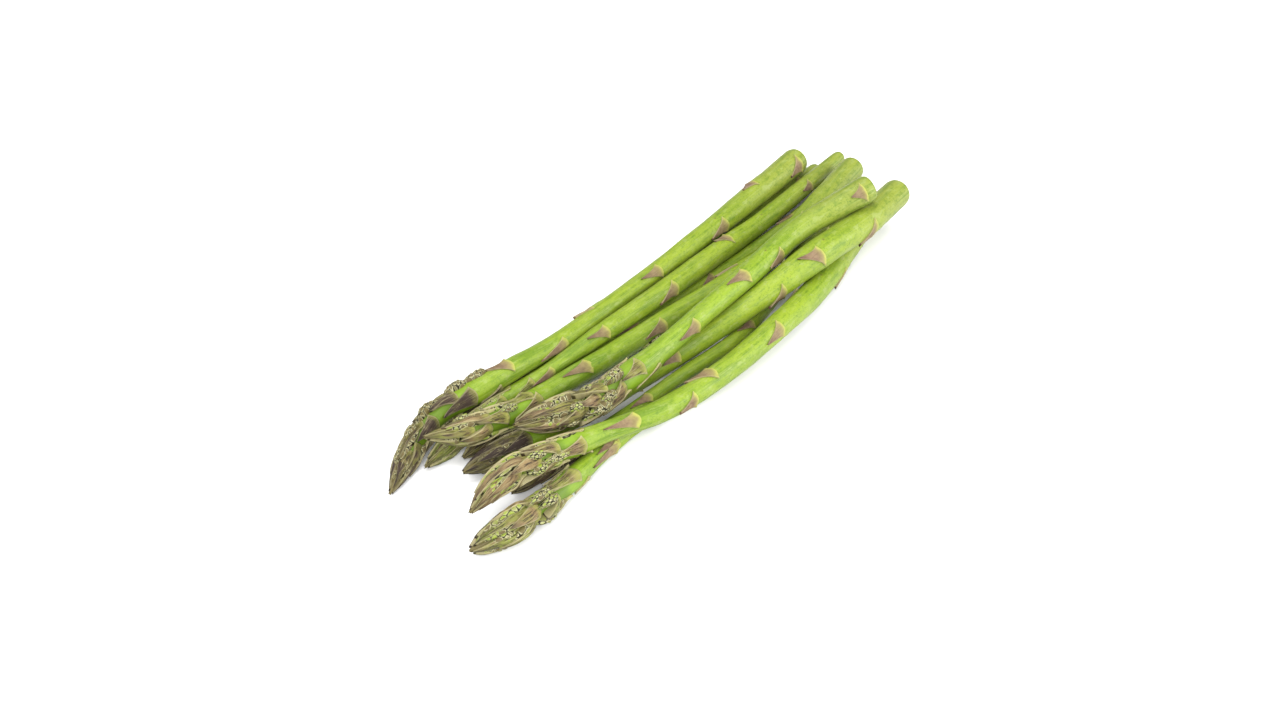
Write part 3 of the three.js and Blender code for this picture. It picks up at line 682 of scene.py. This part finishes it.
# one tree of nodes dresses a spear: these are its inputs
dressInputs = {"Middle line": "Object", "Stalk sheet": "Object", "Patterns": "Collection",
               "Stalk skin": "Material", "Leaf skin": "Material", "Bract skin": "Material",
               "Bud skin": "Material", "Part": "Int", "Unevenness": "Float", "Seed": "Int"}
dressing = {
    "flowRadius": 0.005,         # the finishes' patterns lie on a tube of this radius
    "seedShift": (0.37, 0.19),
    "swell": 0.5, "swellScale": 220.0, "ridge": 0.16, "ridgeScale": 900.0,   # of the stalk
    "curl": 0.5, "curlScale": 260.0,    # of the leaves, bracts and buds
    "evenBelow": -0.0003,        # what is sunk deeper than this stays even
    "stoutFrom": 0.0022, "weld": 0.000002,
}


def makeDressTree(p):
    tree = bpy.data.node_groups.new("dressSpear", "GeometryNodeTree")
    face = tree.interface
    face.new_socket("Places", in_out="INPUT", socket_type="NodeSocketGeometry")
    face.new_socket("Spear", in_out="OUTPUT", socket_type="NodeSocketGeometry")
    sockets = {}
    for label, kind in dressInputs.items():
        made = face.new_socket(label, in_out="INPUT", socket_type="NodeSocket" + kind)
        sockets[label] = made.identifier
    g = Graph(tree)
    entry = tree.nodes.new("NodeGroupInput")
    given = {s.name: Wire(g, s) for s in entry.outputs}

    def named(name, kind="FLOAT_VECTOR"):
        settings = {"data_type": kind}
        return g.add("GeometryNodeInputNamedAttribute", settings, {"Name": name}, "Attribute")

    def shapeOf(label):
        settings = {"transform_space": "ORIGINAL"}
        return g.add("GeometryNodeObjectInfo", settings, {"Object": given[label]}, "Geometry")

    def store(geometry, name, value, kind="FLOAT_VECTOR"):
        settings = {"data_type": kind, "domain": "POINT"}
        values = {"Geometry": geometry, "Name": name, "Value": value}
        return g.add("GeometryNodeStoreNamedAttribute", settings, values)

    def isKind(value, first=None):
        settings = {"data_type": "INT", "operation": "EQUAL"}
        values = {"A_INT": first or named("kind", "INT"), "B_INT": value}
        return g.add("FunctionNodeCompare", settings, values)

    sheet = store(shapeOf("Stalk sheet"), "kind", 3, "INT")
    shapes = g.add("GeometryNodeCollectionInfo", {}, {
        "Collection": given["Patterns"], "Separate Children": True})
    placed = g.add("GeometryNodeInstanceOnPoints", {}, {
        "Points": given["Places"], "Instance": shapes, "Pick Instance": True,
        "Instance Index": named("form", "INT"), "Scale": named("size")})
    whole = g.add("GeometryNodeJoinGeometry", {}, {"Geometry": [placed, sheet]})
    whole = g.add("GeometryNodeRealizeInstances", {}, {"Geometry": whole})

    # part 0 is the stalk, part 1 the leaves and bracts, part 2 the buds
    kind = named("kind", "INT")
    group = isKind(1, kind) + isKind(0, kind) + isKind(2, kind) * 2
    keep = isKind(given["Part"], group)
    whole = g.add("GeometryNodeSeparateGeometry", {"domain": "POINT"}, {
        "Geometry": whole, "Selection": keep}, "Selection")

    # every part is still flat here: x is the distance along, y the turn, z the lift
    flat = g.add("GeometryNodeInputPosition", {}, {})
    place = named("place")
    distance, lift, proud = flat.part("X"), flat.part("Z"), named("proud", "FLOAT")
    isStalk = isKind(3, kind)
    lean = named("lean", "FLOAT") * place.part("Y") * (isKind(0, kind) + isKind(1, kind))
    turn = flat.part("Y") + lean
    cosine, sine = turn.math("COSINE"), turn.math("SINE")
    flow = g.add("ShaderNodeCombineXYZ", {}, {
        "X": cosine * p["flowRadius"], "Y": sine * p["flowRadius"], "Z": distance})
    whole = store(whole, "flow", flow)
    line = g.add("GeometryNodeMeshToCurve", {}, {0: shapeOf("Middle line")})

    def along(value, output):
        return g.add("GeometryNodeSampleCurve", {"mode": "LENGTH"}, {
            "Curves": line, "Value": value, "Length": distance}, output)

    core = along(named("core", "FLOAT"), "Value")
    outline = along(named("outline", "FLOAT"), "Value")
    middle, tangent = along(0.0, "Position"), along(0.0, "Tangent")
    upward = g.add("ShaderNodeCombineXYZ", {}, {"Z": 1.0})
    side = upward.vector("CROSS_PRODUCT", tangent).vector("NORMALIZE")
    top = tangent.vector("CROSS_PRODUCT", side)
    outward = top.vector("SCALE", Scale=cosine).vector("ADD", side.vector("SCALE", Scale=sine))

    # broad unevenness of the stalk, and every leaf and bract a little warped in its own way
    seedShift = g.add("ShaderNodeCombineXYZ", {}, {
        "X": given["Seed"] * p["seedShift"][0], "Y": given["Seed"] * p["seedShift"][1]})
    shifted = flow.vector("ADD", seedShift)
    swells = (g.noise(shifted, p["swellScale"], 2.0, stretch=0.35) - 0.5) * p["swell"] * mm
    ridges = (g.noise(shifted, p["ridgeScale"], 1.0, stretch=0.04) - 0.5) * p["ridge"] * mm
    curl = (g.noise(shifted, p["curlScale"], 1.0) - 0.5) * p["curl"] * mm
    uneven = (swells + ridges) * isStalk + curl * (1 - isStalk)
    uneven = uneven * given["Unevenness"] * proud.math("GREATER_THAN", p["evenBelow"])
    boost = named("boost", "FLOAT") * lift
    stout = (outline / p["stoutFrom"]).math("MINIMUM", 1.0)     # less relief near the tip
    radius = core + (outline - core) * lift + boost + (proud + uneven) * stout
    radius = radius.math("MAXIMUM", 0.0)
    wrapped = middle.vector("ADD", outward.vector("SCALE", Scale=radius))
    whole = g.add("GeometryNodeSetPosition", {}, {"Geometry": whole, "Position": wrapped})
    whole = g.add("GeometryNodeMergeByDistance", {}, {
        "Geometry": whole, "Distance": p["weld"]})
    whole = g.add("GeometryNodeSetShadeSmooth", {}, {"Geometry": whole})
    whole = g.add("GeometryNodeRealizeInstances", {}, {"Geometry": whole})
    for value, label in enumerate(["Leaf skin", "Bract skin", "Bud skin", "Stalk skin"]):
        whole = g.add("GeometryNodeSetMaterial", {}, {
            "Geometry": whole, "Selection": isKind(value), "Material": given[label]})
    leave = tree.nodes.new("NodeGroupOutput")
    tree.links.new(whole.socket, leave.inputs[0])
    return tree, sockets


dressTree, dressSockets = makeDressTree(dressing)
print("dressing tree made")


def newMaterial(name):
    material = bpy.data.materials.new(name)
    material.use_nodes = True
    tree = material.node_tree
    return material, Graph(tree), tree.nodes["Principled BSDF"]


def attributes(graph, *names):
    return [graph.add("ShaderNodeAttribute", {"attribute_name": n}, {}, "Vector") for n in names]


def finish(graph, shader, base, roughness, height, strength, **constants):
    links = graph.tree.links
    normal = graph.add("ShaderNodeBump", {}, {
        "Height": height, "Strength": strength, "Distance": 0.0004}, "Normal")
    links.new(base.socket, shader.inputs["Base Color"])
    links.new(roughness.socket, shader.inputs["Roughness"])
    links.new(normal.socket, shader.inputs["Normal"])
    for name, value in constants.items():
        shader.inputs[name.replace("_", " ")].default_value = value


stalkSkin = {
    "bright": colour(170, 200, 48), "mid": colour(142, 178, 34), "deep": colour(98, 140, 22),
    "yellow": colour(180, 194, 56), "wax": colour(190, 206, 116), "butt": colour(172, 180, 80),
    "young": colour(148, 186, 36), "speck": colour(126, 116, 52),
    "cutFace": colour(196, 200, 130), "fibre": colour(128, 136, 66),
    # depth is painted shade: the core's colour where the bracts shade it
    "headCore": colour(148, 188, 32), "depth": colour(60, 92, 16), "tip": colour(132, 110, 72),
}


def makeStalkSkin(p):
    material, g, shader = newMaterial("stalkSkin")
    flow, place = attributes(g, "flow", "place")
    streaks = g.noise(flow, 2300.0, 3.0, 0.6, stretch=0.03)
    bands = g.noise(flow, 520.0, 2.0, stretch=0.1)
    clouds = g.noise(flow, 120.0, 3.0, 0.55, stretch=0.45)
    blotches = g.noise(flow, 420.0, 4.0, 0.65, stretch=0.6)
    dots = g.noise(flow, 1500.0, 1.0)
    flecks = g.noise(flow, 900.0, 2.0, stretch=0.5)
    distance, head, yellowness = flow.part("Z"), place.part("Y"), place.part("Z")
    green = g.mix(clouds.ramp(0.35, 0.68), p["bright"], p["mid"])
    green = g.mix(yellowness * 0.4, green, p["yellow"])
    green = g.mix(head.ramp(-1.0, 0.2) * 0.35, green, p["young"])
    green = g.mix((1 - distance.ramp(0.004, 0.06)) * 0.7, green, p["butt"])
    mottles = g.noise(flow, 1100.0, 3.0, 0.7)
    green = g.mix((1 - mottles.ramp(0.36, 0.5)) * 0.4, green, p["deep"])
    green = g.mix(bands.ramp(0.48, 0.7) * 0.5, green, p["deep"])
    green = g.mix((1 - blotches.ramp(0.32, 0.46)) * 0.45, green, p["deep"])
    green = g.mix(blotches.ramp(0.53, 0.68) * 0.5, green, p["wax"])
    green = g.mix(streaks.ramp(0.52, 0.68) * 0.35, green, p["wax"])
    green = g.mix(dots.ramp(0.66, 0.74) * 0.6, green, p["deep"])
    green = g.mix(flecks.ramp(0.72, 0.78) * 0.7, green, p["speck"])
    green = g.mix(head.ramp(0.0, 0.5) * 0.7, green, p["headCore"])
    # painted shade: the core is darkened deeper inside the head, where the bracts shade it
    green = g.mix(head.ramp(0.75, 1.0) * 0.45, green, p["depth"])
    green = g.mix(head.ramp(1.0, 2.0) * 0.85, green, p["tip"])
    fibres = g.noise(flow, 2600.0, 2.0, 0.7)
    cut = g.mix(fibres.ramp(0.42, 0.6), p["cutFace"], p["fibre"])
    green = g.mix(place.part("X"), green, cut)
    edge = 1 - (place.part("X") * 2 - 1).math("ABSOLUTE")
    green = g.mix(edge * 0.7, green, p["speck"])
    rough = clouds * 0.14 + blotches * 0.12 + 0.34 + place.part("X") * 0.3
    height = streaks * 0.6 + bands * 0.5 + dots.ramp(0.66, 0.8) * 0.8 + blotches * 0.5
    finish(g, shader, green, rough, height + fibres * place.part("X"), 0.4,
           Specular_IOR_Level=0.25)
    return material


leafSkin = {
    "body": colour(176, 148, 114), "dark": colour(126, 94, 80), "vein": colour(94, 70, 54),
    "band": colour(208, 214, 98), "foot": colour(184, 174, 100), "rim": colour(214, 206, 150),
    "olive": colour(158, 152, 88),
}


def makeLeafSkin(p):
    material, g, shader = newMaterial("leafSkin")
    flow, place, mood = attributes(g, "flow", "place", "mood")
    across, along, shade = place.part("X"), place.part("Y"), mood.part("Z")
    veins = g.noise(flow, 3000.0, 3.0, 0.6, stretch=0.1)
    clouds = g.noise(flow, 480.0, 3.0)
    body = g.mix(clouds.ramp(0.35, 0.7) * 0.7, p["body"], p["dark"])
    body = g.mix(shade * 0.35, body, p["olive"])
    body = g.mix(along.ramp(0.35, 0.95) * 0.75, body, p["dark"])
    body = g.mix(veins.ramp(0.5, 0.7) * 0.5, body, p["vein"])
    reach = along + clouds * 0.14 - 0.07
    body = g.mix((1 - reach.ramp(0.05, 0.36)) * 0.75, body, p["foot"])
    body = g.mix((1 - reach.ramp(0.01, 0.13)) * 0.9, body, p["band"])
    edge = across.math("ABSOLUTE").ramp(0.88, 1.0)
    body = g.mix(edge * 0.45, body, p["rim"])
    rough = veins * 0.2 + 0.5
    finish(g, shader, body, rough, veins + clouds * 0.4, 0.5, Specular_IOR_Level=0.2)
    return material


bractSkin = {
    "mauve": colour(132, 104, 80), "dark": colour(62, 46, 38), "olive": colour(170, 162, 72),
    "green": colour(154, 172, 62), "vein": colour(62, 46, 30), "rim": colour(222, 212, 156),
    "tan": colour(186, 158, 107), "band": colour(206, 208, 104),
}


def makeBractSkin(p):
    material, g, shader = newMaterial("bractSkin")
    flow, place, mood = attributes(g, "flow", "place", "mood")
    across, along = place.part("X"), place.part("Y")
    darkness, greenness, shade = mood.part("X"), mood.part("Y"), mood.part("Z")
    veins = g.noise(flow, 1900.0, 4.0, 0.7, stretch=0.09)
    clouds = g.noise(flow, 520.0, 3.0, stretch=0.5)
    body = g.mix((darkness * 0.8 + shade * 0.9 - 0.1).math("MINIMUM", 1.0), p["tan"], p["mauve"])
    body = g.mix((darkness - 0.4).math("MAXIMUM", 0.0) * 1.3, body, p["dark"])
    patches = (clouds * 0.7 + greenness * 0.35 + shade * 0.3).ramp(0.54, 0.88)
    body = g.mix(patches * 0.8, body, g.mix(greenness, p["olive"], p["green"]))
    body = g.mix(veins.ramp(0.54, 0.64) * 0.45, body, p["rim"])
    lines = 1 - veins.ramp(0.4, 0.49)
    body = g.mix(lines * 0.9, body, p["vein"])
    reach = along + clouds * 0.2 - greenness * 0.08 - 0.06
    body = g.mix((1 - reach.ramp(0.02, 0.2)) * (0.95 - darkness * 0.5), body, p["band"])
    body = g.mix((1 - along.ramp(0.01, 0.04)) * 0.5, body, p["rim"])
    body = g.mix(along.ramp(0.5, 1.0) * 0.75, body, p["dark"])
    edge = across.math("ABSOLUTE").ramp(0.78, 0.94)
    body = g.mix(edge * (0.8 - darkness * 0.4), body, p["rim"])
    rough = veins * 0.25 + 0.4
    finish(g, shader, body, rough, veins * 2.0 + clouds * 0.5, 1.0, Specular_IOR_Level=0.25)
    return material


budSkin = {
    "light": colour(238, 234, 180), "green": colour(166, 186, 60), "brown": colour(116, 92, 66),
    # painted shade: the colour laid in the crevices between the beads
    "gap": colour(40, 34, 12),
}


def makeBudSkin(p):
    material, g, shader = newMaterial("budSkin")
    flow, place, mood = attributes(g, "flow", "place", "mood")
    bead, tint = place.part("X"), place.part("Z")
    darkness, greenness = mood.part("X"), mood.part("Y")
    specks = g.noise(flow, 2600.0, 2.0, 0.6)
    body = g.mix((specks + tint * 0.3).ramp(0.5, 0.8) * 0.5, p["green"], p["light"])
    brown = (tint * 0.9 + darkness * 0.9 - greenness * 0.3 + specks * 0.4).ramp(0.6, 0.95)
    body = g.mix(brown * 0.85, body, p["brown"])
    rims = 1 - (bead + specks * 0.4 - 0.2).ramp(0.36, 0.52)
    body = g.mix(rims * (tint * 0.7 + 0.3), body, p["light"])
    # painted shade: the crevices between the beads are darkened, where shade falls
    body = g.mix(1 - bead.ramp(0.1, 0.34), body, p["gap"])
    rough = specks * 0.2 + 0.4
    finish(g, shader, body, rough, specks + bead, 0.6, Specular_IOR_Level=0.15)
    return material


skins = {"Stalk skin": makeStalkSkin(stalkSkin), "Leaf skin": makeLeafSkin(leafSkin),
         "Bract skin": makeBractSkin(bractSkin), "Bud skin": makeBudSkin(budSkin)}
print("finishes made")


def lineMesh(name, line, spear):
    mesh = bpy.data.meshes.new(name + "Line")
    count = len(line.points)
    mesh.from_pydata((line.points * mm).tolist(), [(k, k + 1) for k in range(count - 1)], [])
    girths = {"core": coreRadius(line, spear, line.stops), "outline": line.outline(line.stops)}
    for label, values in girths.items():
        storeOn(mesh, label, "FLOAT", values * mm)
    return addObject(name + "Line", mesh)


pressing = {"clearance": 0.12, "near": 16.0, "floor": 0.0, "push": 1.2, "mostPush": 0.6,
            "batch": 4000}


def pressClear(name, coords):
    # what would reach into a neighbour's smooth outline is pressed back towards its own middle
    # line; the leaves that stand out from that outline aren't tested, so some still cross
    own = lines[name]
    clear = coords.copy()
    for other, line in lines.items():
        if other == name:
            continue
        low, high = line.points.min(0) - pressing["near"], line.points.max(0) + pressing["near"]
        chosen = np.flatnonzero(((clear > low) & (clear < high)).all(1))
        radii = line.outline(line.stops)
        for part in np.array_split(chosen, max(1, len(chosen) // pressing["batch"])):
            if not len(part):
                continue
            gaps = np.linalg.norm(clear[part, None] - line.points[None], axis=2) - radii
            depth = pressing["clearance"] - gaps.min(1)
            hit = part[depth > 0]
            if not len(hit):
                continue
            nearest = np.linalg.norm(clear[hit, None] - own.points[None], axis=2).argmin(1)
            inward = own.points[nearest] - clear[hit]
            reach = np.linalg.norm(inward, axis=1)
            move = np.minimum(depth[depth > 0] * pressing["push"], reach * pressing["mostPush"])
            clear[hit] += inward / np.maximum(reach, 0.01)[:, None] * move[:, None]
    clear[:, 2] = np.maximum(clear[:, 2], pressing["floor"])
    return clear


slotOf = {"Stalk": "spear_skin", "Scales": "scale_leaf", "Buds": "bud"}   # by part number


def dressSpear(index, name):
    spear, line = spears[name], lines[name]
    places = pointsObject(name + "Places", placesOn(spear, line), spear["tone"])
    helpers = [lineMesh(name, line, spear),
               addObject(name + "Sheet", makeStalkSheet(name, line, spear))]
    modifier = places.modifiers.new("dress", "NODES")
    modifier.node_group = dressTree
    values = {"Middle line": helpers[0], "Stalk sheet": helpers[1], "Patterns": patterns, **skins,
              "Unevenness": 1.0, "Seed": index}
    for label, value in values.items():
        modifier[dressSockets[label]] = value
    counts = []
    for part, (label, slot) in enumerate(slotOf.items()):
        modifier[dressSockets["Part"]] = part
        places.update_tag()
        bpy.context.view_layer.update()
        graph = bpy.context.evaluated_depsgraph_get()
        mesh = bpy.data.meshes.new_from_object(places.evaluated_get(graph))
        coords = np.empty(len(mesh.vertices) * 3)
        mesh.vertices.foreach_get("co", coords)
        coords = pressClear(name, coords.reshape(-1, 3) / mm) * mm
        mesh.vertices.foreach_set("co", coords.reshape(-1).astype(np.float32))
        mesh.update()
        mesh.name = name.replace("_", "") + label
        piece = addObject(mesh.name, mesh)
        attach(piece, "root")
        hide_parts(name)
        counts.append(sum(len(f.vertices) - 2 for f in mesh.polygons))
    bpy.data.objects.remove(places)
    for helper in helpers:
        bpy.data.objects.remove(helper)
    print(name, "dressed, triangles:", counts)


for index, name in enumerate(spears):
    dressSpear(index, name)
for pattern in list(patterns.objects):
    bpy.data.objects.remove(pattern)
bpy.data.collections.remove(patterns)


studio = {
    "floorSize": 6.0, "floorColour": (0.72, 0.72, 0.72, 1), "worldColour": (1, 1, 1, 1),
    "worldStrength": 0.4,
    "lights": [("overhead", (0.0, 0.1, 1.3), 1.2, 22.0), ("right", (0.75, -1.05, 0.5), 1.0, 28.5),
               ("left", (-0.9, -0.7, 0.8), 1.0, 28.5), ("back", (-0.5, 0.8, 0.9), 1.0, 10.0)],
    "azimuth": -46.0, "elevation": 40.0, "distance": 0.9, "lens": 69.4,
    "target": (-0.0210, -0.0045, 0.010),
}


def makeStudio(p):
    half = p["floorSize"] / 2
    mesh = bpy.data.meshes.new("floor")
    mesh.from_pydata([(-half, -half, 0), (half, -half, 0), (half, half, 0), (-half, half, 0)],
                     [], [(0, 1, 2, 3)])
    floor = addObject("floor", mesh)
    material, _, shader = newMaterial("floorPaint")
    shader.inputs["Base Color"].default_value = p["floorColour"]
    shader.inputs["Roughness"].default_value = 0.9
    mesh.materials.append(material)
    world = bpy.data.worlds.new("studioAir")
    world.use_nodes = True
    background = world.node_tree.nodes["Background"]
    background.inputs["Color"].default_value = p["worldColour"]
    background.inputs["Strength"].default_value = p["worldStrength"]
    bpy.context.scene.world = world
    target = Vector(p["target"])
    for name, place, size, power in p["lights"]:
        data = bpy.data.lights.new(name, "AREA")
        data.size, data.energy = size, power
        light = addObject(name, data)
        light.location = place
        light.rotation_euler = (target - Vector(place)).to_track_quat("-Z", "Y").to_euler()
    turn, lift = math.radians(p["azimuth"]), math.radians(p["elevation"])
    back = Vector((math.sin(turn) * math.cos(lift), -math.cos(turn) * math.cos(lift),
                   math.sin(lift)))
    data = bpy.data.cameras.new("camera")
    data.lens, data.sensor_width = p["lens"], 36
    camera = addObject("camera", data)
    camera.location = target + back * p["distance"]
    camera.rotation_euler = (-back).to_track_quat("-Z", "Y").to_euler()
    bpy.context.scene.camera = camera
    bpy.context.scene.view_settings.view_transform = "Standard"


makeStudio(studio)
print("studio made")
